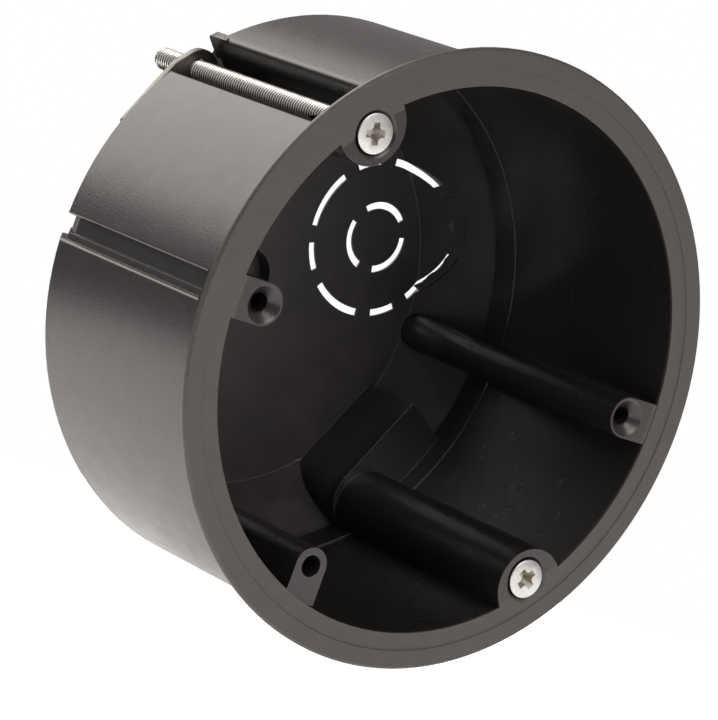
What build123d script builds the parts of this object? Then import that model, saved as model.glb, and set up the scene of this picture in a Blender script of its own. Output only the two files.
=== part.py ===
"""Round drywall back box with two claw clamps.

The box is pushed into a round hole in a plasterboard wall until its thin flange
lies on the board. Two countersunk screws, reached from the front, each carry a
flat steel claw behind the box. Turning a screw swings its claw out of a pocket
and then draws it forward in a channel, which grips the board.

Frame, in millimetres: the box's axis is Y, the wall's face is the plane y = 0,
the open front looks along -Y, the device screws lie left and right on X, and Z
is up. Angles run anticlockwise from +X as the open front is seen.
"""
import os
from math import acos, atan2, cos, hypot, radians, sin, sqrt

from build123d import *

# Body
BODY_DIAMETER = 72.8
BODY_LENGTH = 34.6             # wall's face to the rear rim
BODY_WALL = 2.2
INNER_WALL_PAST_RIM = 1.3      # rear rim to where the inner wall turns into the cone
WALL_STEP = 0.2                # faint step round the inner wall
WALL_STEP_BEFORE_RIM = 2.9

# Flange
FLANGE_OVERHANG = 2.45         # flange beyond the body's side
FLANGE_THICKNESS = 0.9
FACE_BAND_STEP = 0.15          # the face inside the body's outline lies this much lower
FLANGE_EDGE_RADIUS = 0.3

# Tapered back with a flat floor
BACK_LENGTH = 10.1             # rear rim to the floor's inside
FLOOR_THICKNESS = 1.3
BACK_TAPER = 7.8               # body's side to the back's edge
FLOOR_INSET = 0.6              # inner floor's edge inside the back's edge
BACK_EDGE_RADIUS = 2.0
RIM_RADIUS = 0.8               # rounding between the body's side and the taper

# Well in the middle of the floor
WELL_DIAMETER = 7.4
WELL_DEPTH = 2.4
WELL_WALL = 1.2

# Screw posts for the device, left and right
DEVICE_SCREW_PITCH = 60.0
POST_WIDTH = 5.3
POST_DROP = 0.15               # post's face below the flange's inner band
PILOT_DIAMETER = 2.3
PILOT_DEPTH = 16.0
COUNTERSINK_DIAMETER = 4.75

# Third post, at the lower left, for a plain screw
THIRD_POST_ANGLE = -108.0
THIRD_POST_WIDTH = 4.7
THIRD_POST_DROP = 1.35
THIRD_HOLE_DIAMETER = 2.7
THIRD_HOLE_DEPTH = 14.0

# Clamp screws
CLAMP_ANGLES = {"upper": 135.0, "lower": 315.0}
CLAMP_INSET = 3.8              # body's side to a clamp screw's axis
SCREW_DIAMETER = 2.9
SCREW_PAST_CLAW = 7.7          # screw's tip behind the claw
SCREW_HEAD_DIAMETER = 5.2
SCREW_HEAD_EDGE = 0.35         # straight edge of the head, above its cone
SCREW_TIP_CHAMFER = 0.3
CROSS_LENGTH = 3.05
CROSS_WIDTH = 0.85
CROSS_DEPTH = 1.3
CROSS_TAPER = 10.0             # slope of the recess's sides
CROSS_TURNS = {"upper": 14.0, "lower": 55.0}
SEAT_CLEARANCE = 0.09          # round the screw's shank and the cone of its head
CLAW_HOLE_CLEARANCE = 0.06

# Claws
CLAW_THICKNESS = 1.0
CLAW_LENGTH = 11.95            # screw's axis to the tip
CLAW_END_RADIUS = 2.8          # round end about the screw
CLAW_INNER_SIDE = 2.65         # screw's axis to the edge that lies towards the box's axis
CLAW_OUTER_SIDE = 3.45         # screw's axis to the other edge
CLAW_SHOULDER = 1.8            # along the claw, where its outer edge begins
CLAW_TIP_RADIUS = 0.6
CLAW_STOWED_TURN = 107.9       # turn of the stowed claw from the outward direction

# Hollow boss and channel for each clamp screw
BOSS_RADIUS = 4.85
BOSS_OFFSET = 1.05             # boss centre outside the screw's axis
BOSS_WALL = 1.1
CHANNEL_START = 1.7
CHANNEL_STOP_CLEARANCE = 0.1   # claw's round end to the wall that stops the claw
CHANNEL_FREE_SIDE = 4.9        # screw's axis to the other lip
CHANNEL_LIP_RADIUS = 0.6

# Pocket in the back that takes the stowed claw
POCKET_PAST_RIM = 0.2          # rear rim to the pocket's face inside the box
POCKET_WALL_FRONT = 1.5
POCKET_WALL_SIDE = 1.1
POCKET_RADIUS = 3.7
POCKET_PAST_TIP = 0.55         # stowed claw's tip to the pocket's end, along the pocket
POCKET_TURN = 105.5
CLAW_GAP = 0.85                # claw behind the pocket's front wall

# Small wall beside each channel that a swung-out claw comes to rest on
STOP_RIB_THICKNESS = 1.2
STOP_RIB_OVERLAP = 0.2         # how far the rib reaches past the claw's front face
STOP_RIB_START = 0.4           # screw's axis to the rib's inner end
STOP_RIB_RADIUS = 0.6          # rib's outer corner at the rear

# Grooves in the outside behind the device posts, each with a shelf along one side
GROOVE_START = 3.4
GROOVE_DEPTH = 1.9
GROOVE_BACK_DEPTH = 1.2        # at the back's edge
GROOVE_PLAIN_SIDE = 1.35       # middle line to the side without a shelf
GROOVE_SHELF_SIDE = 1.75
GROOVE_SHELF_WIDTH = 0.9
GROOVE_SHELF_DEPTH = 1.0
GROOVE_LIP_RADIUS = 0.45

# Knockouts for cable and conduit, one each side of the floor
KNOCKOUT_ANGLES = (29.1, 209.1)
KNOCKOUT_INSET = 7.15          # inner floor's edge to a knockout's middle
CONDUIT_SLOT_RADIUS = 10.35
CONDUIT_SLOT_WIDTH = 0.95
CONDUIT_LONG_ANGLE = 43.5
CONDUIT_SHORT_ANGLE = 21.0
CABLE_SLOT_RADIUS = 4.35
CABLE_SLOT_WIDTH = 0.95
CABLE_SLOT_ANGLE = 89.0
MEMBRANE = 0.4                 # floor left at the slots
MEMBRANE_MARGIN = 0.9          # thinned floor each side of a slot

OVERCUT = 2.0                  # how far a cutting solid runs past what it cuts

# Worked out from the sizes above
BODY_RADIUS = BODY_DIAMETER / 2
FLANGE_RADIUS = BODY_RADIUS + FLANGE_OVERHANG
MOUTH_RADIUS = BODY_RADIUS - BODY_WALL
BACK_RADIUS = BODY_RADIUS - BACK_TAPER
FLOOR_RADIUS = BACK_RADIUS - FLOOR_INSET
CLAMP_CIRCLE_RADIUS = BODY_RADIUS - CLAMP_INSET
KNOCKOUT_CIRCLE_RADIUS = FLOOR_RADIUS - KNOCKOUT_INSET
SHELF_EDGE = GROOVE_SHELF_SIDE - GROOVE_SHELF_WIDTH
CHANNEL_STOP_SIDE = CLAW_END_RADIUS + CHANNEL_STOP_CLEARANCE
INNER_WALL_LENGTH = BODY_LENGTH + INNER_WALL_PAST_RIM
WALL_STEP_PLACE = BODY_LENGTH - WALL_STEP_BEFORE_RIM
FLOOR_PLACE = BODY_LENGTH + BACK_LENGTH
POCKET_FACE = BODY_LENGTH + POCKET_PAST_RIM
POCKET_LENGTH = CLAW_LENGTH + POCKET_PAST_TIP
FRONT = -FLANGE_THICKNESS
BAND = FRONT + FACE_BAND_STEP
BACK = FLOOR_PLACE + FLOOR_THICKNESS
FAR = BACK + WELL_DEPTH + WELL_WALL + OVERCUT
CLAW_FACE = POCKET_FACE + POCKET_WALL_FRONT + CLAW_GAP
SCREW_TIP = CLAW_FACE + CLAW_THICKNESS + SCREW_PAST_CLAW


def prism(outline, start, end):
    """A straight solid along Y from a drawing made as the open front is seen."""
    return extrude(Plane.XZ.offset(-start) * outline, amount=end - start, dir=(0, 1, 0))


def turned(*points):
    """A solid of revolution about Y from (radius, y) points."""
    return revolve(Plane.XY * make_face(Polyline(*points, close=True)), Axis.Y)


def rounded(before, corner, after, radius, steps):
    """Points that round a profile's corner in a few straight steps."""
    arc = FilletPolyline(before, corner, after, radius=radius).edges().filter_by(GeomType.CIRCLE)[0]
    points = [arc @ (step / steps) for step in range(steps + 1)]
    points.sort(key=lambda point: hypot(point.X - before[0], point.Y - before[1]))
    return [(point.X, point.Y) for point in points]


def box_outline(left, right, bottom, top):
    """A rectangle by its four sides."""
    return Pos((left + right) / 2, (bottom + top) / 2) * Rectangle(right - left, top - bottom)


def at_clamp(outline, angle):
    """Moves a drawing made round a screw's axis, with X outward, to its clamp."""
    return Rot(0, 0, angle) * Pos(CLAMP_CIRCLE_RADIUS, 0) * outline


def at_pocket(outline, angle):
    """Moves a drawing made round a screw's axis, with X along the pocket, to its clamp."""
    return at_clamp(Rot(0, 0, POCKET_TURN) * outline, angle)


def radial_place(radius, angle):
    """The drawing's coordinates of a point given by radius and angle."""
    return radius * cos(radians(angle)), radius * sin(radians(angle))


def post_outline(width, reach):
    """A round-ended post that runs outward along X from its screw hole."""
    return Circle(width / 2) + box_outline(0, reach, -width / 2, width / 2)


def device_posts():
    post = post_outline(POST_WIDTH, BODY_RADIUS - DEVICE_SCREW_PITCH / 2 - GROOVE_DEPTH)
    return Sketch() + [Rot(0, 0, turn) * Pos(DEVICE_SCREW_PITCH / 2, 0) * post for turn in (0, 180)]


def third_post():
    """The lower left post runs straight down to the wall, not along a radius."""
    x, z = radial_place(DEVICE_SCREW_PITCH / 2, THIRD_POST_ANGLE)
    wall = sqrt(MOUTH_RADIUS ** 2 - (abs(x) + THIRD_POST_WIDTH / 2) ** 2)
    reach = wall + z + (BODY_RADIUS - MOUTH_RADIUS) / 2
    return Pos(x, z) * Rot(0, 0, -90) * post_outline(THIRD_POST_WIDTH, reach)


def pocket_outline(radius, length):
    """The claw's pocket, open to the outside, with X along it from the screw's axis."""
    return Circle(radius) + box_outline(0, length, -BODY_RADIUS / 2, radius)


def channel_outline():
    """The channel round a clamp screw: a round bottom that opens to the outside."""
    bottom = Pos(BOSS_OFFSET, 0) * Circle(BOSS_RADIUS - BOSS_WALL)
    lip = sqrt(BODY_RADIUS ** 2 - CHANNEL_FREE_SIDE ** 2) - CLAMP_CIRCLE_RADIUS
    run_out = CLAMP_INSET + OVERCUT
    rise = (CHANNEL_FREE_SIDE - BOSS_RADIUS + BOSS_WALL) / (lip - BOSS_OFFSET)
    free_side = CHANNEL_FREE_SIDE + rise * (run_out - lip)
    mouth = make_face(Polyline(
        (BOSS_OFFSET, -CHANNEL_STOP_SIDE), (run_out, -CHANNEL_STOP_SIDE),
        (run_out, free_side), (BOSS_OFFSET, BOSS_RADIUS - BOSS_WALL), close=True))
    beyond_stop = box_outline(-BODY_RADIUS, BODY_RADIUS, -BODY_RADIUS, -CHANNEL_STOP_SIDE)
    return bottom - beyond_stop + mouth


def lips(outline):
    """The corners of a section that lie on the body's round."""
    return [v for v in outline.vertices() if abs(hypot(v.X, v.Y) - BODY_RADIUS) < 0.01]


def body_outline():
    """The body's section: a disc with two grooves and two channels, lips rounded."""
    outline = Sketch() + Circle(BODY_RADIUS)
    mouth = BODY_RADIUS + OVERCUT
    groove = box_outline(BODY_RADIUS - GROOVE_DEPTH, mouth, -GROOVE_PLAIN_SIDE, SHELF_EDGE)
    groove += box_outline(BODY_RADIUS - GROOVE_SHELF_DEPTH, mouth, SHELF_EDGE, GROOVE_SHELF_SIDE)
    for turn in (0, 180):
        outline -= Rot(0, 0, turn) * groove
    outline = fillet(lips(outline), GROOVE_LIP_RADIUS)
    before = [(v.X, v.Y) for v in lips(outline)]
    for angle in CLAMP_ANGLES.values():
        outline -= at_clamp(channel_outline(), angle)
    fresh = [v for v in lips(outline) if all(hypot(v.X - x, v.Y - y) > 0.01 for x, y in before)]
    return fillet(fresh, CHANNEL_LIP_RADIUS)


def groove_on_taper(depth, back_depth, bottom, top):
    """A cut that carries the groove at +X on down the taper, with a straight floor."""
    mouth = BODY_RADIUS + OVERCUT
    floor = BACK_RADIUS - back_depth
    outline = make_face(Polyline(
        (BODY_RADIUS - depth, BODY_LENGTH), (mouth, BODY_LENGTH), (mouth, FAR),
        (floor, FAR), (floor, BACK), close=True))
    return Pos(0, 0, bottom) * extrude(Plane.XY * outline, amount=top - bottom, dir=(0, 0, 1))


def outer_form():
    """Flange, collar and grooved body with its tapered back, before it is hollowed."""
    edge = rounded((0, FRONT), (FLANGE_RADIUS, FRONT), (FLANGE_RADIUS, 0), FLANGE_EDGE_RADIUS, 1)
    flange = turned((0, BAND), (BODY_RADIUS, BAND), (BODY_RADIUS, FRONT), *edge, (FLANGE_RADIUS, 0), (0, 0))
    collar = prism(Circle(BODY_RADIUS), BAND, GROOVE_START)
    side, rim = (BODY_RADIUS, 0), (BODY_RADIUS, BODY_LENGTH)
    back_edge, middle = (BACK_RADIUS, BACK), (0, BACK)
    limit = turned((0, 0), side, *rounded(side, rim, back_edge, RIM_RADIUS, 1),
                   *rounded(rim, back_edge, middle, BACK_EDGE_RADIUS, 3), middle)
    body = prism(body_outline(), GROOVE_START, FAR) & limit
    floor = groove_on_taper(GROOVE_DEPTH, GROOVE_BACK_DEPTH, -GROOVE_PLAIN_SIDE, SHELF_EDGE)
    shelf = groove_on_taper(GROOVE_SHELF_DEPTH, GROOVE_SHELF_DEPTH, SHELF_EDGE, GROOVE_SHELF_SIDE)
    for turn in (0, 180):
        body = body - Rot(0, turn, 0) * floor - Rot(0, turn, 0) * shelf
    return flange + collar + body


def room():
    """The hollow inside, less the posts, bosses and pockets that stand in it."""
    lower = MOUTH_RADIUS - WALL_STEP
    start = FRONT - OVERCUT
    hollow = turned((0, start), (MOUTH_RADIUS, start), (MOUTH_RADIUS, WALL_STEP_PLACE),
                    (lower, WALL_STEP_PLACE), (lower, INNER_WALL_LENGTH),
                    (FLOOR_RADIUS, FLOOR_PLACE), (0, FLOOR_PLACE))
    hollow -= prism(device_posts(), BAND + POST_DROP, FAR)
    hollow -= prism(third_post(), BAND + THIRD_POST_DROP, FAR)
    for angle in CLAMP_ANGLES.values():
        hollow -= prism(at_clamp(Pos(BOSS_OFFSET, 0) * Circle(BOSS_RADIUS), angle), BAND, INNER_WALL_LENGTH)
        pocket = pocket_outline(POCKET_RADIUS + POCKET_WALL_SIDE, POCKET_LENGTH + POCKET_WALL_SIDE)
        hollow -= prism(at_pocket(pocket, angle), POCKET_FACE, FAR)
    return hollow


def countersunk_hole(x, z, face, hole, countersink, depth):
    """A round hole with a 90 degree countersink, as a solid to cut away."""
    hole_radius, mouth_radius = hole / 2, countersink / 2
    cone = mouth_radius - hole_radius
    tool = turned((0, face - OVERCUT), (mouth_radius, face - OVERCUT), (mouth_radius, face),
                  (hole_radius, face + cone), (hole_radius, face + depth), (0, face + depth))
    return Pos(x, 0, z) * tool


def screw_seat(angle):
    """The seat of a clamp screw, whose cone runs on past the head to the face."""
    x, z = radial_place(CLAMP_CIRCLE_RADIUS, angle)
    mouth = SCREW_HEAD_DIAMETER + 2 * (SCREW_HEAD_EDGE + SEAT_CLEARANCE)
    shank = SCREW_DIAMETER + 2 * SEAT_CLEARANCE
    return countersunk_hole(x, z, BAND, shank, mouth, CHANNEL_START + OVERCUT - BAND)


def slot_ring(radius, width, centre_angles, angle):
    """Curved slots with square ends on one circle."""
    wedges = Sketch()
    for centre in centre_angles:
        ends = [radial_place(2 * radius, centre + turn) for turn in (-angle / 2, angle / 2)]
        wedges += make_face(Polyline((0, 0), *ends, close=True))
    return (Circle(radius + width / 2) - Circle(radius - width / 2)) & wedges


def knockout(angle):
    """Slots of one knockout and the thinned floor round them, as solids to cut away."""
    place = Pos(*radial_place(KNOCKOUT_CIRCLE_RADIUS, angle)) * Rot(0, 0, angle)
    quarters = range(0, 360, 90)
    diagonals = [45 + turn for turn in quarters]
    slots = slot_ring(CONDUIT_SLOT_RADIUS, CONDUIT_SLOT_WIDTH, diagonals, CONDUIT_LONG_ANGLE)
    slots += slot_ring(CONDUIT_SLOT_RADIUS, CONDUIT_SLOT_WIDTH, quarters, CONDUIT_SHORT_ANGLE)
    slots += slot_ring(CABLE_SLOT_RADIUS, CABLE_SLOT_WIDTH, (60, 180, 300), CABLE_SLOT_ANGLE)
    tools = prism(place * slots, INNER_WALL_LENGTH, BACK + OVERCUT)
    conduit_half = CONDUIT_SLOT_WIDTH / 2 + MEMBRANE_MARGIN
    thinned = Circle(CONDUIT_SLOT_RADIUS + conduit_half) - Circle(CONDUIT_SLOT_RADIUS - conduit_half)
    thinned += Circle(CABLE_SLOT_RADIUS + CABLE_SLOT_WIDTH / 2 + MEMBRANE_MARGIN)
    return tools + prism(place * thinned, FLOOR_PLACE + MEMBRANE, BACK + OVERCUT)


def stop_rib(angle):
    """The small wall beside a channel, rounded at its outer rear corner."""
    bottom = -CHANNEL_STOP_SIDE - STOP_RIB_THICKNESS
    rib = box_outline(STOP_RIB_START, BODY_RADIUS, bottom, -CHANNEL_STOP_SIDE)
    outline = at_clamp(rib, angle) & Circle(BODY_RADIUS)
    wall = prism(outline, BODY_LENGTH - STOP_RIB_THICKNESS, CLAW_FACE + STOP_RIB_OVERLAP)
    rear = wall.edges().group_by(Axis.Y)[-1]
    return fillet(rear.filter_by(GeomType.CIRCLE), STOP_RIB_RADIUS)


def back_box():
    shell = outer_form() - room()
    well_rim = FLOOR_PLACE + WELL_DEPTH + WELL_WALL
    shell += prism(Circle(WELL_DIAMETER / 2 + WELL_WALL), FLOOR_PLACE + FLOOR_THICKNESS / 2, well_rim)
    shell -= prism(Circle(WELL_DIAMETER / 2), FLOOR_PLACE - OVERCUT, FLOOR_PLACE + WELL_DEPTH)
    for turn in (0, 180):
        x, z = radial_place(DEVICE_SCREW_PITCH / 2, turn)
        shell -= countersunk_hole(x, z, BAND + POST_DROP, PILOT_DIAMETER, COUNTERSINK_DIAMETER, PILOT_DEPTH)
    x, z = radial_place(DEVICE_SCREW_PITCH / 2, THIRD_POST_ANGLE)
    face = BAND + THIRD_POST_DROP
    shell -= prism(Pos(x, z) * Circle(THIRD_HOLE_DIAMETER / 2), face - OVERCUT, face + THIRD_HOLE_DEPTH)
    for angle in CLAMP_ANGLES.values():
        shell -= prism(at_clamp(channel_outline(), angle), CHANNEL_START, GROOVE_START + OVERCUT)
        pocket = pocket_outline(POCKET_RADIUS, POCKET_LENGTH)
        shell -= prism(at_pocket(pocket, angle), POCKET_FACE + POCKET_WALL_FRONT, FAR)
        shell -= screw_seat(angle)
        shell += stop_rib(angle)
    for angle in KNOCKOUT_ANGLES:
        shell -= knockout(angle)
    return shell


def clamp_screw(angle, cross_turn):
    """Countersunk screw with a cross recess. Its thread is left plain."""
    head_radius, shank_radius = SCREW_HEAD_DIAMETER / 2, SCREW_DIAMETER / 2
    under_edge = BAND + SCREW_HEAD_EDGE
    screw = turned((0, BAND), (head_radius, BAND), (head_radius, under_edge),
                   (shank_radius, under_edge + head_radius - shank_radius),
                   (shank_radius, SCREW_TIP - SCREW_TIP_CHAMFER),
                   (shank_radius - SCREW_TIP_CHAMFER, SCREW_TIP), (0, SCREW_TIP))
    cross = Rectangle(CROSS_LENGTH, CROSS_WIDTH) + Rectangle(CROSS_WIDTH, CROSS_LENGTH)
    cross = Plane.XZ.offset(-BAND) * Rot(0, 0, cross_turn) * cross
    tool = extrude(cross, amount=CROSS_DEPTH, dir=(0, 1, 0), taper=CROSS_TAPER)
    x, z = radial_place(CLAMP_CIRCLE_RADIUS, angle)
    return Pos(x, 0, z) * (screw - tool)


def clamp_claw(angle):
    """Flat claw, as it lies stowed: round about the screw, with straight sides."""
    shoulder = hypot(CLAW_SHOULDER, CLAW_OUTER_SIDE)
    turn = -atan2(CLAW_OUTER_SIDE, CLAW_SHOULDER) - acos(CLAW_END_RADIUS / shoulder)
    leaves_round = (CLAW_END_RADIUS * cos(turn), CLAW_END_RADIUS * sin(turn))
    bar = make_face(Polyline(
        (0, 0), leaves_round, (CLAW_SHOULDER, -CLAW_OUTER_SIDE), (CLAW_LENGTH, -CLAW_OUTER_SIDE),
        (CLAW_LENGTH, CLAW_INNER_SIDE), (0, CLAW_INNER_SIDE), close=True))
    bar = fillet(bar.vertices().group_by(Axis.X)[-1], CLAW_TIP_RADIUS)
    outline = bar + Circle(CLAW_END_RADIUS) - Circle(SCREW_DIAMETER / 2 + CLAW_HOLE_CLEARANCE)
    stowed = at_clamp(Rot(0, 0, CLAW_STOWED_TURN) * outline, angle)
    return prism(stowed, CLAW_FACE, CLAW_FACE + CLAW_THICKNESS)


def main():
    os.makedirs("parts", exist_ok=True)
    parts = {"back_box": back_box()}
    for side, angle in CLAMP_ANGLES.items():
        parts[f"clamp_screw_{side}"] = clamp_screw(angle, CROSS_TURNS[side])
        parts[f"clamp_claw_{side}"] = clamp_claw(angle)
    for node, solid in parts.items():
        export_step(solid, f"parts/{node}.step")
        box = solid.bounding_box()
        print(node, len(solid.solids()), "solid", round(solid.volume, 1), "mm3", box.min, box.max)


main()
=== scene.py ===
# %% [markdown]
# # A drywall back box, dressed for a photograph
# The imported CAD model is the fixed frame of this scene: a round black box with
# a thin flange, two countersunk clamp screws and two steel claws. This lesson
# gives its surfaces their real finish and makes the details that were too fine
# for the solids, such as the screw threads and the soft moulded edges.

import math

import bmesh
import bpy
from mathutils import Matrix, Vector


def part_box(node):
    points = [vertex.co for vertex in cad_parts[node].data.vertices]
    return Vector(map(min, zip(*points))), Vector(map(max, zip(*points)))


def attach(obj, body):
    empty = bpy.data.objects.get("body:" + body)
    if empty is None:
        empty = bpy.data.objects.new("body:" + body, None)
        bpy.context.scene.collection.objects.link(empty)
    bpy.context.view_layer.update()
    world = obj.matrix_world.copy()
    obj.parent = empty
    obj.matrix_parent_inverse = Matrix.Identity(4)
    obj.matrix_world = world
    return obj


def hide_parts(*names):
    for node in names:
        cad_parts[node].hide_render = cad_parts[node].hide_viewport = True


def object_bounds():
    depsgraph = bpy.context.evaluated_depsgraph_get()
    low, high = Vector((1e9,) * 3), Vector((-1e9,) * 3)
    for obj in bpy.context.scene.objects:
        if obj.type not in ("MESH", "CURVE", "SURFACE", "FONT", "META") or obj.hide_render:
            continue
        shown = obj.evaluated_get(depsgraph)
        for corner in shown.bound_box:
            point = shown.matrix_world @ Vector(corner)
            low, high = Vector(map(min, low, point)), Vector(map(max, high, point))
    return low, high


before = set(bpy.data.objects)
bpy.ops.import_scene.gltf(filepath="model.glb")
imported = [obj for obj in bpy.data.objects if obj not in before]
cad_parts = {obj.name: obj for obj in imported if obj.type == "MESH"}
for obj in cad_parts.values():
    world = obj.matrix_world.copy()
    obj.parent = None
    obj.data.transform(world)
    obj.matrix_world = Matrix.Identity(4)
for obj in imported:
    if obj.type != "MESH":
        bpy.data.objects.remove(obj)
cad_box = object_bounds()
MM = 0.001

# %% [markdown]
# ## Shared helpers for nodes
# A material is a small graph of nodes. Writing each graph by hand is tedious,
# so a few helpers add a node with its settings, join sockets and start a group.
# Everything reads Object coordinates, which stay with the piece when it moves.

# %% Node helpers
def add_node(tree, kind, **settings):
    """One node, with its attributes or the defaults of its inputs set by name."""
    node = tree.nodes.new(kind)
    for name, value in settings.items():
        if hasattr(node, name):
            setattr(node, name, value)
        else:
            node.inputs[name.replace("_", " ")].default_value = value
    return node


def join(tree, *pairs):
    """Links each pair of sockets, from the first to the second."""
    for start, end in pairs:
        tree.links.new(start, end)


def shader_group(name, inputs, outputs):
    """An empty shader group with named number sockets, and its two ends."""
    group = bpy.data.node_groups.new(name, "ShaderNodeTree")
    for label, value in inputs.items():
        socket = group.interface.new_socket(label, in_out="INPUT", socket_type="NodeSocketFloat")
        socket.default_value = value
    for label in outputs:
        group.interface.new_socket(label, in_out="OUTPUT", socket_type="NodeSocketFloat")
    return group, group.nodes.new("NodeGroupInput"), group.nodes.new("NodeGroupOutput")


# %% [markdown]
# ## Grain
# The mould of such a box is spark eroded where the part will be seen, which
# leaves a fine, even grain on the plastic. Zinc plating has a similar but
# weaker grain. One group makes both: a fine noise for the relief and the specks
# of colour, and a wide one for the patches where the surface has been handled
# and is a little glossier.

# %% The grain group
PATCHES_PER_METRE = 420.0
grain_group, group_in, group_out = shader_group(
    "fine grain", {"Grain Size": 0.2, "Roughness Low": 0.4, "Roughness High": 0.5},
    ["Height", "Roughness", "Speck"])
place = add_node(grain_group, "ShaderNodeTexCoord")
per_metre = add_node(grain_group, "ShaderNodeMath", operation="DIVIDE")
per_metre.inputs[0].default_value = 1 / MM
fine = add_node(grain_group, "ShaderNodeTexNoise", Detail=3.0, Roughness=0.6)
wide = add_node(grain_group, "ShaderNodeTexNoise", Scale=PATCHES_PER_METRE, Detail=2.0, Roughness=0.5)
to_roughness = add_node(grain_group, "ShaderNodeMapRange", From_Min=0.3, From_Max=0.7)
to_speck = add_node(grain_group, "ShaderNodeMapRange", From_Min=0.35, From_Max=0.7)
join(grain_group,
     (group_in.outputs["Grain Size"], per_metre.inputs[1]),
     (per_metre.outputs[0], fine.inputs["Scale"]),
     (place.outputs["Object"], fine.inputs["Vector"]),
     (place.outputs["Object"], wide.inputs["Vector"]),
     (wide.outputs["Fac"], to_roughness.inputs["Value"]),
     (group_in.outputs["Roughness Low"], to_roughness.inputs["To Min"]),
     (group_in.outputs["Roughness High"], to_roughness.inputs["To Max"]),
     (fine.outputs["Fac"], to_speck.inputs["Value"]),
     (fine.outputs["Fac"], group_out.inputs["Height"]),
     (to_roughness.outputs["Result"], group_out.inputs["Roughness"]),
     (to_speck.outputs["Result"], group_out.inputs["Speck"]))
print("group:", grain_group.name)


# %% Helpers that place the grain and mix by a mask
def placed_grain(tree, grain_mm, low=0.0, high=1.0):
    """The grain group in a material, with its own grain size and roughness limits."""
    node = add_node(tree, "ShaderNodeGroup")
    node.node_tree = grain_group
    for name, value in (("Grain Size", grain_mm), ("Roughness Low", low), ("Roughness High", high)):
        node.inputs[name].default_value = value
    return node


def colour_mix(tree, factor, dark, light):
    """A colour between two, by a mask. Each end is a colour or another node's socket."""
    node = add_node(tree, "ShaderNodeMix", data_type="RGBA")
    ends = [socket for socket in node.inputs if socket.type == "RGBA"]
    tree.links.new(factor, node.inputs[0])
    for end, value in zip(ends, (dark, light)):
        if isinstance(value, tuple):
            end.default_value = (*value, 1.0)
        else:
            tree.links.new(value, end)
    return next(socket for socket in node.outputs if socket.type == "RGBA")


def number_mix(tree, factor, low, high):
    """A number between two sockets' values, by a mask."""
    node = add_node(tree, "ShaderNodeMix", data_type="FLOAT")
    ends = {socket.name: socket for socket in node.inputs if socket.type == "VALUE"}
    join(tree, (factor, node.inputs[0]), (low, ends["A"]), (high, ends["B"]))
    return next(socket for socket in node.outputs if socket.type == "VALUE")


def new_material(name):
    """A new material, its node tree and its shader."""
    material = bpy.data.materials.new(name)
    material.use_nodes = True
    return material, material.node_tree, material.node_tree.nodes["Principled BSDF"]


# %% [markdown]
# ## Moulded plastic
# The mould is spark eroded only where the flange's face is made, polished along
# the walls, and left as machined at the back. So the face is finely grained,
# dull and greyer, the walls are black and glossy with a faint sandy grain, and
# the back is plain. One material holds all three, because the piece is one
# moulding: two masks that follow the place on the piece fade between them.

# %% The mask for the flange's face
face_group, group_in, group_out = shader_group(
    "flange face mask", {"Inner Radius": 33.6, "Rear": -0.3, "Blend": 0.1}, ["Mask"])
place = add_node(face_group, "ShaderNodeTexCoord")
in_mm = add_node(face_group, "ShaderNodeVectorMath", operation="SCALE", Scale=1 / MM)
flat = add_node(face_group, "ShaderNodeVectorMath", operation="MULTIPLY")
flat.inputs[1].default_value = (1.0, 0.0, 1.0)
radius = add_node(face_group, "ShaderNodeVectorMath", operation="LENGTH")
parts = add_node(face_group, "ShaderNodeSeparateXYZ")
past_radius = add_node(face_group, "ShaderNodeMath", operation="SUBTRACT")
before_rear = add_node(face_group, "ShaderNodeMath", operation="SUBTRACT")
either_one = add_node(face_group, "ShaderNodeMath", operation="MINIMUM")
softer = add_node(face_group, "ShaderNodeMath", operation="DIVIDE", use_clamp=True)
join(face_group,
     (place.outputs["Object"], in_mm.inputs[0]),
     (in_mm.outputs[0], flat.inputs[0]),
     (flat.outputs[0], radius.inputs[0]),
     (in_mm.outputs[0], parts.inputs[0]),
     (radius.outputs["Value"], past_radius.inputs[0]),
     (group_in.outputs["Inner Radius"], past_radius.inputs[1]),
     (group_in.outputs["Rear"], before_rear.inputs[0]),
     (parts.outputs["Y"], before_rear.inputs[1]),
     (past_radius.outputs[0], either_one.inputs[0]),
     (before_rear.outputs[0], either_one.inputs[1]),
     (either_one.outputs[0], softer.inputs[0]),
     (group_in.outputs["Blend"], softer.inputs[1]),
     (softer.outputs[0], group_out.inputs["Mask"]))
print("group:", face_group.name)

# %% The mask for the back, which wasn't polished
back_group, group_in, group_out = shader_group(
    "unpolished back mask", {"Front": 35.4, "Blend": 1.2}, ["Mask"])
place = add_node(back_group, "ShaderNodeTexCoord")
parts = add_node(back_group, "ShaderNodeSeparateXYZ")
in_mm = add_node(back_group, "ShaderNodeMath", operation="DIVIDE")
in_mm.inputs[1].default_value = MM
past_front = add_node(back_group, "ShaderNodeMath", operation="SUBTRACT")
softer = add_node(back_group, "ShaderNodeMath", operation="DIVIDE", use_clamp=True)
join(back_group,
     (place.outputs["Object"], parts.inputs[0]),
     (parts.outputs["Y"], in_mm.inputs[0]),
     (in_mm.outputs[0], past_front.inputs[0]),
     (group_in.outputs["Front"], past_front.inputs[1]),
     (past_front.outputs[0], softer.inputs[0]),
     (group_in.outputs["Blend"], softer.inputs[1]),
     (softer.outputs[0], group_out.inputs["Mask"]))
print("group:", back_group.name)

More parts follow.
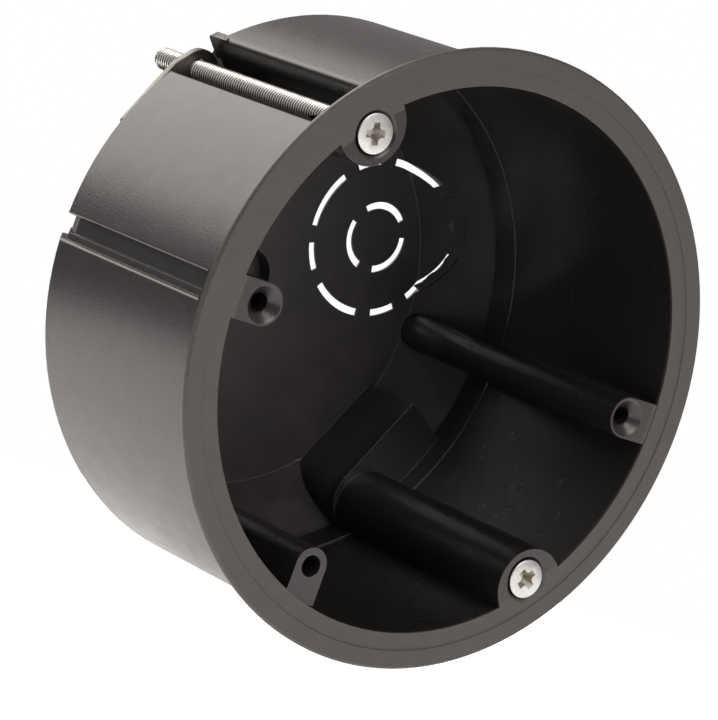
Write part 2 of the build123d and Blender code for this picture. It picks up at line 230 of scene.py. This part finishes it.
# %% Black plastic: shades, grains and reliefs
FACE_SHADES = (0.0165, 0.0150, 0.0145), (0.0490, 0.0447, 0.0435)
WALL_SHADES = (0.0030, 0.0027, 0.0025), (0.0150, 0.0133, 0.0125)
BACK_SHADES = (0.0120, 0.0104, 0.0098), (0.0205, 0.0181, 0.0171)
WAVE_SIZE, STAIN_SIZE = 1.6, 7.0                 # millimetres
WAVE_RELIEF, GRAIN_RELIEF = 0.0018, 0.024        # millimetres

black_plastic, tree, shader = new_material("black plastic")
face_mask, back_mask = add_node(tree, "ShaderNodeGroup"), add_node(tree, "ShaderNodeGroup")
face_mask.node_tree, back_mask.node_tree = face_group, back_group
eroded = placed_grain(tree, 0.15, 0.52, 0.62)
polished = placed_grain(tree, 0.22, 0.27, 0.32)
plain = placed_grain(tree, 0.60, 0.40, 0.52)
waves = placed_grain(tree, WAVE_SIZE)
stains = placed_grain(tree, STAIN_SIZE)
on_face, on_back = face_mask.outputs["Mask"], back_mask.outputs["Mask"]

# %% Black plastic: colour, roughness and relief by the masks
rear_colour = colour_mix(tree, on_back, colour_mix(tree, polished.outputs["Speck"], *WALL_SHADES),
                         colour_mix(tree, stains.outputs["Speck"], *BACK_SHADES))
all_colour = colour_mix(tree, on_face, rear_colour, colour_mix(tree, eroded.outputs["Speck"], *FACE_SHADES))
rear_roughness = number_mix(tree, on_back, polished.outputs["Roughness"], plain.outputs["Roughness"])
all_roughness = number_mix(tree, on_face, rear_roughness, eroded.outputs["Roughness"])
all_grain = number_mix(tree, on_face, polished.outputs["Height"], eroded.outputs["Height"])
wave_relief = add_node(tree, "ShaderNodeBump", Distance=WAVE_RELIEF * MM, Strength=1.0)
grain_relief = add_node(tree, "ShaderNodeBump", Distance=GRAIN_RELIEF * MM, Strength=1.0)
join(tree,
     (all_colour, shader.inputs["Base Color"]),
     (all_roughness, shader.inputs["Roughness"]),
     (waves.outputs["Height"], wave_relief.inputs["Height"]),
     (all_grain, grain_relief.inputs["Height"]),
     (wave_relief.outputs["Normal"], grain_relief.inputs["Normal"]),
     (grain_relief.outputs["Normal"], shader.inputs["Normal"]))
print("finish:", black_plastic.name, len(tree.nodes), "nodes")


# %% [markdown]
# ## Zinc
# The screws and claws are zinc plated steel, but no two places look alike.
# The threads' crests and tip get a light copy of the zinc, a painted highlight,
# and their grooves a dark copy, a painted shade. The head has a darker copy than
# the crests. The walls of a screw's recess have a grey brown copy, painted shade.
# The claws get the dark copy.

# %% Zinc finishes
def zinc(name, dark, light, grain_mm, roughness, relief_mm):
    """A metal whose colour, roughness and relief follow the grain."""
    material, tree, shader = new_material(name)
    shader.inputs["Metallic"].default_value = 1.0
    grain = placed_grain(tree, grain_mm, *roughness)
    relief = add_node(tree, "ShaderNodeBump", Distance=relief_mm * MM)
    join(tree,
         (colour_mix(tree, grain.outputs["Speck"], dark, light), shader.inputs["Base Color"]),
         (grain.outputs["Roughness"], shader.inputs["Roughness"]),
         (grain.outputs["Height"], relief.inputs["Height"]),
         (relief.outputs["Normal"], shader.inputs["Normal"]))
    print("finish:", name)
    return material


# A light copy for the crests, neck and tip, a painted highlight; a darker copy for the head.
crest_highlight_zinc = zinc("bright zinc", (0.84, 0.84, 0.81), (0.94, 0.94, 0.91), 0.30, (0.26, 0.40), 0.003)
head_zinc = zinc("head zinc", (0.40, 0.405, 0.39), (0.51, 0.515, 0.50), 0.20, (0.30, 0.44), 0.004)
# A grey brown copy for the walls of a screw's recess: painted shade.
recess_shade_zinc = zinc("zinc with painted recess shade", (0.36, 0.34, 0.30), (0.54, 0.51, 0.46), 0.20, (0.45, 0.60), 0.006)
# A dark copy: painted shade in the thread's grooves, and the claws' zinc.
dark_zinc_and_root_shade = zinc("dull zinc", (0.115, 0.108, 0.096), (0.20, 0.19, 0.172), 0.25, (0.34, 0.50), 0.006)


# %% [markdown]
# ## Soft edges
# Every edge of a moulded or stamped part is a little round, and catches a thin
# line of light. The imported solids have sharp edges, so a copy of one gets its
# doubles merged, its flat triangles joined, and a small bevel. Weighted normals
# then keep the wide flat faces flat beside the narrow rounded ones.

# %% A copy of a solid with soft edges
BOX_EDGE, CLAW_EDGE = 0.06, 0.10                 # how wide the roundings are, in millimetres


def linked(name, mesh):
    """A new object for a mesh, in the scene."""
    piece = bpy.data.objects.new(name, mesh)
    bpy.context.scene.collection.objects.link(piece)
    return piece


def softened(node, name, finish, width):
    """A bevelled copy of a CAD node, which then stands for it."""
    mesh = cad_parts[node].data.copy()
    work = bmesh.new()
    work.from_mesh(mesh)
    bmesh.ops.remove_doubles(work, verts=work.verts, dist=0.002 * MM)
    bmesh.ops.dissolve_limit(work, angle_limit=math.radians(0.5), verts=work.verts, edges=work.edges)
    work.to_mesh(mesh)
    work.free()
    mesh.shade_smooth()
    mesh.materials.clear()
    mesh.materials.append(finish)
    piece = linked(name, mesh)
    bevel = piece.modifiers.new("soft edges", "BEVEL")
    bevel.width = width * MM
    bevel.segments = 2
    bevel.limit_method = "ANGLE"
    bevel.angle_limit = math.radians(30)
    bevel.use_clamp_overlap = False
    evened = piece.modifiers.new("flat faces stay flat", "WEIGHTED_NORMAL")
    evened.keep_sharp = True
    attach(piece, node)
    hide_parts(node)
    print(name, len(mesh.polygons), "faces before the bevel")
    return piece


# %% The box and the claws
softened("back_box", "moulded_box", black_plastic, BOX_EDGE)
for side in ("upper", "lower"):
    softened(f"clamp_claw_{side}", f"stamped_claw_{side}", dark_zinc_and_root_shade, CLAW_EDGE)


# %% [markdown]
# ## Skins in the knockouts
# Where a knockout's slots run into the taper, the mould's thin blades don't
# quite meet the other half, and a skin of plastic stays in the slot. Each skin
# is a narrow strip along the slot, a little behind the wall's inner face, with
# a ragged end. A strip is easier to place than a cut, so it is made from two
# rows of points whose depth follows the taper.

# %% Where the skins are, in millimetres and degrees
KNOCKOUT_ANGLES = (29.1, 209.1)
KNOCKOUT_CIRCLE, SLOT_RADIUS = 20.85, 10.35
INNER_TAPER = ((34.0, 35.9), (28.0, 44.7))       # (radius, depth) where the inner taper starts and ends
SKIN_BEHIND_FACE, SKIN_THICKNESS, SKIN_STEPS = 0.22, 0.15, 12
SKINS = (                                        # from, to, inner side, outer side, how ragged
    (-12, 12, -0.56, 0.56, 0.0),
    (21.8, 33, -0.56, 0.56, 0.0),
    (-56, -22, -0.20, 0.56, 0.10))


def taper_depth(radius):
    """Depth of the inner face at a distance from the box's axis."""
    (wide, near), (narrow, deep) = INNER_TAPER
    return deep if radius < narrow else deep - (radius - narrow) / (wide - narrow) * (deep - near)


# %% Skins
def skin_strip(work, knockout_angle, start, end, low, high, ragged):
    """Adds a strip between two angles of a slot and two distances from its middle line."""
    rows = []
    middle = math.radians(knockout_angle)
    for k in range(SKIN_STEPS + 1):
        turn = math.radians(start + (end - start) * k / SKIN_STEPS + knockout_angle)
        row = []
        for j, side in enumerate((low, high)):
            wobble = ragged * math.sin(5.1 * k + 2.3 * j + knockout_angle) * (1 - j)
            reach = SLOT_RADIUS + side + wobble
            x = KNOCKOUT_CIRCLE * math.cos(middle) + reach * math.cos(turn)
            z = KNOCKOUT_CIRCLE * math.sin(middle) + reach * math.sin(turn)
            y = taper_depth(math.hypot(x, z)) + SKIN_BEHIND_FACE
            row.append([work.verts.new((x * MM, (y + lift) * MM, z * MM)) for lift in (0.0, SKIN_THICKNESS)])
        rows.append(row)
    for (a, b), (c, d) in zip(rows, rows[1:]):
        for corners in ((a[0], b[0], d[0], c[0]), (a[1], c[1], d[1], b[1]),
                        (a[0], c[0], c[1], a[1]), (b[0], b[1], d[1], d[0])):
            work.faces.new(corners)
    for (a, b), flip in ((rows[0], 1), (rows[-1], -1)):
        work.faces.new([a[0], a[1], b[1], b[0]][::flip])


skin_work = bmesh.new()
for knockout_angle in KNOCKOUT_ANGLES:
    for skin in SKINS:
        skin_strip(skin_work, knockout_angle, *skin)
bmesh.ops.recalc_face_normals(skin_work, faces=skin_work.faces)
skin_mesh = bpy.data.meshes.new("knockout_skins")
skin_work.to_mesh(skin_mesh)
skin_work.free()
skin_mesh.materials.append(black_plastic)
skins = linked("knockout_skins", skin_mesh)
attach(skins, "back_box")
print("skins:", len(skin_mesh.polygons), "faces")

# %% [markdown]
# ## Clamp screws
# Each screw has a countersunk head with a cross recess, and a thread all along.
# A thread is one small ridge that climbs in a spiral, so a Geometry Nodes tree
# sweeps a ridge along a spiral curve round a plain core. The sizes are inputs,
# so the same tree would make any screw.

# %% The tree's sockets
ROOT_RADIUS, RIDGE_HEIGHT, PITCH = 1.15, 0.3, 0.5        # millimetres
RIDGE_SHARE = 0.38                                       # a ridge's half width, as a share of the pitch
shank_tree = bpy.data.node_groups.new("threaded shank", "GeometryNodeTree")
shank_sockets = {}
for label, kind, value in (
        ("Geometry", "Geometry", None), ("Pitch", "Float", PITCH * MM),
        ("Root Radius", "Float", ROOT_RADIUS * MM), ("Ridge Height", "Float", RIDGE_HEIGHT * MM),
        ("Length", "Float", 40 * MM), ("Core Length", "Float", 41 * MM),
        ("Steps per Turn", "Int", 20), ("Finish", "Material", None)):
    socket = shank_tree.interface.new_socket(label, in_out="INPUT", socket_type="NodeSocket" + kind)
    if value is not None:
        socket.default_value = value
    shank_sockets[label] = socket.identifier
shank_tree.interface.new_socket("Geometry", in_out="OUTPUT", socket_type="NodeSocketGeometry")
print("sizes:", ", ".join(shank_sockets))

# %% The tree's nodes
sizes = add_node(shank_tree, "NodeGroupInput").outputs
turns = add_node(shank_tree, "ShaderNodeMath", operation="DIVIDE")
spiral = add_node(shank_tree, "GeometryNodeCurveSpiral")
upright = add_node(shank_tree, "GeometryNodeSetCurveNormal", mode="Z_UP")
ridge_round = add_node(shank_tree, "GeometryNodeCurvePrimitiveCircle", Resolution=8, Radius=1.0)
half_ridge = add_node(shank_tree, "ShaderNodeMath", operation="MULTIPLY")
half_ridge.inputs[1].default_value = RIDGE_SHARE
ridge_size = add_node(shank_tree, "ShaderNodeCombineXYZ", Z=1.0)
ridge_shape = add_node(shank_tree, "GeometryNodeTransform")
sweep = add_node(shank_tree, "GeometryNodeCurveToMesh", Fill_Caps=True)
core = add_node(shank_tree, "GeometryNodeMeshCylinder", Vertices=32)
half_core = add_node(shank_tree, "ShaderNodeMath", operation="MULTIPLY")
half_core.inputs[1].default_value = 0.5
core_lift = add_node(shank_tree, "ShaderNodeCombineXYZ")
core_place = add_node(shank_tree, "GeometryNodeTransform")
joined = add_node(shank_tree, "GeometryNodeJoinGeometry")
realized = add_node(shank_tree, "GeometryNodeRealizeInstances")
painted = add_node(shank_tree, "GeometryNodeSetMaterial")
made = add_node(shank_tree, "NodeGroupOutput")
print("thread tree:", len(shank_tree.nodes), "nodes")

# %% The tree's links: the ridge along its spiral, then the core, then both as one
join(shank_tree,
     (sizes["Length"], turns.inputs[0]),
     (sizes["Pitch"], turns.inputs[1]),
     (sizes["Steps per Turn"], spiral.inputs["Resolution"]),
     (turns.outputs[0], spiral.inputs["Rotations"]),
     (sizes["Root Radius"], spiral.inputs["Start Radius"]),
     (sizes["Root Radius"], spiral.inputs["End Radius"]),
     (sizes["Length"], spiral.inputs["Height"]),
     (spiral.outputs[0], upright.inputs["Curve"]),
     (sizes["Pitch"], half_ridge.inputs[0]),
     (sizes["Ridge Height"], ridge_size.inputs["X"]),
     (half_ridge.outputs[0], ridge_size.inputs["Y"]),
     (ridge_round.outputs[0], ridge_shape.inputs["Geometry"]),
     (ridge_size.outputs[0], ridge_shape.inputs["Scale"]),
     (upright.outputs[0], sweep.inputs["Curve"]),
     (ridge_shape.outputs[0], sweep.inputs["Profile Curve"]))
join(shank_tree,
     (sizes["Root Radius"], core.inputs["Radius"]),
     (sizes["Core Length"], core.inputs["Depth"]),
     (sizes["Core Length"], half_core.inputs[0]),
     (half_core.outputs[0], core_lift.inputs["Z"]),
     (core.outputs["Mesh"], core_place.inputs["Geometry"]),
     (core_lift.outputs[0], core_place.inputs["Translation"]))
join(shank_tree,
     (sweep.outputs[0], joined.inputs[0]),
     (core_place.outputs[0], joined.inputs[0]),
     (joined.outputs[0], realized.inputs[0]),
     (realized.outputs[0], painted.inputs["Geometry"]),
     (sizes["Finish"], painted.inputs["Material"]),
     (painted.outputs[0], made.inputs[0]))
print("thread tree:", len(shank_tree.links), "links")


# %% A shank as a plain mesh
def threaded_shank(length, core_length):
    """Runs the tree once and keeps its mesh, turned to start at y = 0 and point along Y."""
    helper = linked("shank_helper", bpy.data.meshes.new("shank_helper"))
    maker = helper.modifiers.new("thread", "NODES")
    maker.node_group = shank_tree
    maker[shank_sockets["Length"]] = length
    maker[shank_sockets["Core Length"]] = core_length
    maker[shank_sockets["Finish"]] = crest_highlight_zinc
    bpy.context.view_layer.update()
    evaluated = helper.evaluated_get(bpy.context.evaluated_depsgraph_get())
    mesh = bpy.data.meshes.new_from_object(evaluated)
    helper.modifiers.remove(maker)
    bpy.data.objects.remove(helper)
    mesh.transform(Matrix.Rotation(math.radians(-90), 4, "X"))
    return mesh


# %% [markdown]
# ## Screw heads
# The head is a cone under a short straight edge, turned from a profile. The
# cross recess is cut with a Boolean: four tapered wings round a deeper middle,
# as a pressed recess has. Its turn differs from screw to screw, because nobody
# stops turning a screw at a set angle.

# %% Sizes of the head and its recess, in millimetres
HEAD_PLACE = -0.75                               # the head's face along Y
HEAD_RADIUS, HEAD_EDGE, HEAD_ROUNDING, SHANK_RADIUS = 2.52, 0.35, 0.12, 1.45
RECESS_TURNS = {"upper": 14.0, "lower": 55.0}    # degrees
TOOL_TOP, TOOL_BOTTOM = HEAD_PLACE - 0.2, HEAD_PLACE + 1.3
WING = (1.52, 0.50), (0.50, 0.28)                # half length and half width, at the tool's top and bottom
MIDDLE = (0.72, 0.72), (0.40, 0.40)
TIP_CHAMFER = 0.35                               # the thread ends this far before the tip


def turned_mesh(name, profile, steps=64):
    """A closed round solid about the Y axis from (radius, y) points, in metres."""
    work = bmesh.new()
    rings = []
    for radius, y in profile:
        count = 1 if radius == 0 else steps
        rings.append([work.verts.new((radius * math.cos(2 * math.pi * k / steps), y,
                                      radius * math.sin(2 * math.pi * k / steps))) for k in range(count)])
    for ring, following in zip(rings, rings[1:]):
        for k in range(steps):
            corners = [ring[k % len(ring)], ring[(k + 1) % len(ring)],
                       following[(k + 1) % len(following)], following[k % len(following)]]
            work.faces.new(list(dict.fromkeys(corners)))
    bmesh.ops.recalc_face_normals(work, faces=work.faces)
    mesh = bpy.data.meshes.new(name)
    work.to_mesh(mesh)
    work.free()
    return mesh


# %% The tool that cuts a recess
def recess_mesh(turn):
    """The tool for a cross recess: two tapered bars and a tapered middle."""
    work = bmesh.new()
    for (top, bottom), angle in ((WING, 0), (WING, 90), (MIDDLE, 0)):
        turned = Matrix.Rotation(-math.radians(turn + angle), 3, "Y")
        corners = []
        for y, (a, b) in ((TOOL_TOP, top), (TOOL_BOTTOM, bottom)):
            for p, q in ((-a, -b), (a, -b), (a, b), (-a, b)):
                corners.append(work.verts.new(turned @ Vector((p * MM, y * MM, q * MM))))
        for face in ((0, 1, 2, 3), (7, 6, 5, 4), (0, 4, 5, 1), (1, 5, 6, 2), (2, 6, 7, 3), (3, 7, 4, 0)):
            work.faces.new([corners[k] for k in face])
    bmesh.ops.recalc_face_normals(work, faces=work.faces)
    mesh = bpy.data.meshes.new("recess_tool")
    work.to_mesh(mesh)
    work.free()
    return mesh


# %% A head with its recess
def head_mesh(side, under):
    """The turned head and neck, cut by the recess's tool. The cone ends at the depth under."""
    r, s, y, soft = HEAD_RADIUS * MM, SHANK_RADIUS * MM, HEAD_PLACE * MM, HEAD_ROUNDING * MM
    head = linked("head_" + side, turned_mesh("head", [
        (0, y), (r - soft, y), (r - 0.3 * soft, y + 0.3 * soft), (r, y + soft), (r, y + HEAD_EDGE * MM),
        (s, under), (s, under + 0.4 * MM), (ROOT_RADIUS * MM, under + 0.6 * MM), (0, under + 0.6 * MM)]))
    tool = linked("tool_" + side, recess_mesh(RECESS_TURNS[side]))
    cut = head.modifiers.new("recess", "BOOLEAN")
    cut.object, cut.solver, cut.use_self = tool, "EXACT", True
    bpy.context.view_layer.update()
    mesh = bpy.data.meshes.new_from_object(head.evaluated_get(bpy.context.evaluated_depsgraph_get()))
    head.modifiers.remove(cut)
    for helper in (head, tool):
        bpy.data.objects.remove(helper)
    return mesh


# %% The zinc of each face of a screw, with its painted shade and highlight
SCREW_FINISHES = (crest_highlight_zinc, head_zinc, recess_shade_zinc, dark_zinc_and_root_shade)


def finish_place(spot, under, tip):
    """Which copy of the zinc lies on a face, from its middle; some copies are painted shade or highlight."""
    away = math.hypot(spot.x, spot.z)
    # The recess's walls: painted shade.
    if away < 1.9 * MM and (HEAD_PLACE + 0.02) * MM < spot.y < under:
        return SCREW_FINISHES.index(recess_shade_zinc)
    # The head: the darker copy.
    if spot.y < under:
        return SCREW_FINISHES.index(head_zinc)
    # The thread's grooves and lower flanks: the dark copy, painted shade.
    if away < 1.30 * MM and under + 0.5 * MM < spot.y < tip - 0.1 * MM:
        return SCREW_FINISHES.index(dark_zinc_and_root_shade)
    # Crests, neck and tip: the light copy, a painted highlight.
    return SCREW_FINISHES.index(crest_highlight_zinc)


# %% One whole screw
def clamp_screw(side):
    """Head with its recess, and threaded shank, as one piece that replaces the node."""
    node = f"clamp_screw_{side}"
    low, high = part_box(node)
    axis_x, axis_z, tip = (low.x + high.x) / 2, (low.z + high.z) / 2, high.y
    under = (HEAD_PLACE + HEAD_EDGE + HEAD_RADIUS - SHANK_RADIUS) * MM
    start = under + 0.1 * MM
    head = head_mesh(side, under)
    shank = threaded_shank(tip - start - TIP_CHAMFER * MM, tip - start)
    shank.transform(Matrix.Translation((0, start, 0)))
    work = bmesh.new()
    work.from_mesh(head)
    work.from_mesh(shank)
    mesh = bpy.data.meshes.new(node)
    work.to_mesh(mesh)
    work.free()
    for finish in SCREW_FINISHES:
        mesh.materials.append(finish)
    for polygon in mesh.polygons:
        polygon.material_index = finish_place(polygon.center, under, tip)
    mesh.shade_smooth()
    mesh.set_sharp_from_angle(angle=math.radians(50))
    mesh.transform(Matrix.Translation((axis_x, 0, axis_z)))
    piece = linked(f"threaded_screw_{side}", mesh)
    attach(piece, node)
    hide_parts(node)
    print(piece.name, len(mesh.polygons), "faces")


for side in ("upper", "lower"):
    clamp_screw(side)

# %% [markdown]
# ## Floor and light
# The photograph is a cut-out on white. Its black plastic shows where the light
# came from: a large soft panel stood behind at the upper left, the table glowed
# white close round the box, and the studio beyond was dark. A small table that
# glows and a dim world repeat that. The world looks white only to the camera,
# so that the black walls don't mirror it.

# %% Table
TABLE_CORNERS = [(-0.1, -0.6, 0), (0.6, -0.6, 0), (0.6, 0.11, 0), (-0.1, 0.11, 0)]
TABLE_GAP = 0.2 * MM
table_mesh = bpy.data.meshes.new("table")
table_mesh.from_pydata(TABLE_CORNERS, [], [(0, 1, 2, 3)])
table_mesh.transform(Matrix.Translation((0, 0, cad_box[0][2] - TABLE_GAP)))
pale, _, glow = new_material("pale table")
glow.inputs["Base Color"].default_value = (0.8, 0.8, 0.8, 1)
glow.inputs["Roughness"].default_value = 0.9
glow.inputs["Emission Color"].default_value = (1.0, 0.965, 0.935, 1)
glow.inputs["Emission Strength"].default_value = 1.15
table_mesh.materials.append(pale)
linked("table", table_mesh)
print("table at z", round(cad_box[0][2] - TABLE_GAP, 4))

# %% World
scene = bpy.context.scene
scene.view_settings.view_transform = "Standard"
world = bpy.data.worlds.new("studio")
world.use_nodes = True
tree = world.node_tree
room = tree.nodes["Background"]
room.inputs["Color"].default_value, room.inputs["Strength"].default_value = (1.0, 0.95, 0.93, 1), 0.38
backdrop = add_node(tree, "ShaderNodeBackground", Color=(1, 1, 1, 1), Strength=1.0)
ray = add_node(tree, "ShaderNodeLightPath")
choice = add_node(tree, "ShaderNodeMixShader")
join(tree,
     (ray.outputs["Is Camera Ray"], choice.inputs[0]),
     (room.outputs[0], choice.inputs[1]),
     (backdrop.outputs[0], choice.inputs[2]),
     (choice.outputs[0], tree.nodes["World Output"].inputs["Surface"]))
scene.world = world


# %% Soft lamps
LAMP_COLOUR = (1.0, 0.955, 0.925)
BOX_MIDDLE = Vector((0, 0.02, 0))


def soft_lamp(name, place, size, glow_strength):
    """A square area lamp that points at the box, as bright per area as asked."""
    lamp = bpy.data.lights.new(name, "AREA")
    lamp.shape, lamp.size = "SQUARE", size
    lamp.energy = glow_strength * math.pi * size ** 2
    lamp.color = LAMP_COLOUR
    holder = bpy.data.objects.new(name, lamp)
    holder.location = place
    holder.rotation_euler = (BOX_MIDDLE - Vector(place)).to_track_quat("-Z", "Y").to_euler()
    scene.collection.objects.link(holder)
    print(name, "energy", round(lamp.energy, 2))


soft_lamp("rear panel", (-0.34, 0.80, 0.58), 1.0, 3.6)
soft_lamp("upper panel", (-0.15, -0.75, 0.75), 0.8, 5.0)
soft_lamp("front panel", (0.45, -1.1, 0.25), 1.0, 0.6)

# %% [markdown]
# ## Camera
# The camera's place and turn were worked out from the flange's two ellipses and
# the straight edges of the body in the photograph. Its rows say where the
# picture's right, down and ahead lie in the model's frame.

# %% Camera
RIGHT = Vector((0.7461858, -0.5755003, 0.3346732))
DOWN = Vector((0.2293919, -0.2496634, -0.9407696))
AHEAD = Vector((0.6249688, 0.7787603, -0.0542802))
SPOT = Vector((11.5653, 0.4876, 484.7606))       # the flange's middle as the camera sees it, in millimetres
FLANGE_FACE = -0.9                               # millimetres along Y
FOCAL_PIXELS, PICTURE_WIDTH, SENSOR_WIDTH = 4000, 718, 36.0

camera = bpy.data.objects.new("camera", bpy.data.cameras.new("camera"))
eye = -(Matrix((RIGHT, DOWN, AHEAD)).transposed() @ SPOT)
eye.y += FLANGE_FACE
camera.matrix_world = Matrix.Translation(eye * MM) @ Matrix((RIGHT, -DOWN, -AHEAD)).transposed().to_4x4()
camera.data.sensor_fit, camera.data.sensor_width = "HORIZONTAL", SENSOR_WIDTH
camera.data.lens = FOCAL_PIXELS / PICTURE_WIDTH * SENSOR_WIDTH
camera.data.clip_start, camera.data.clip_end = 0.01, 50
scene.collection.objects.link(camera)
scene.camera = camera
print("camera at", [round(value, 4) for value in camera.location])
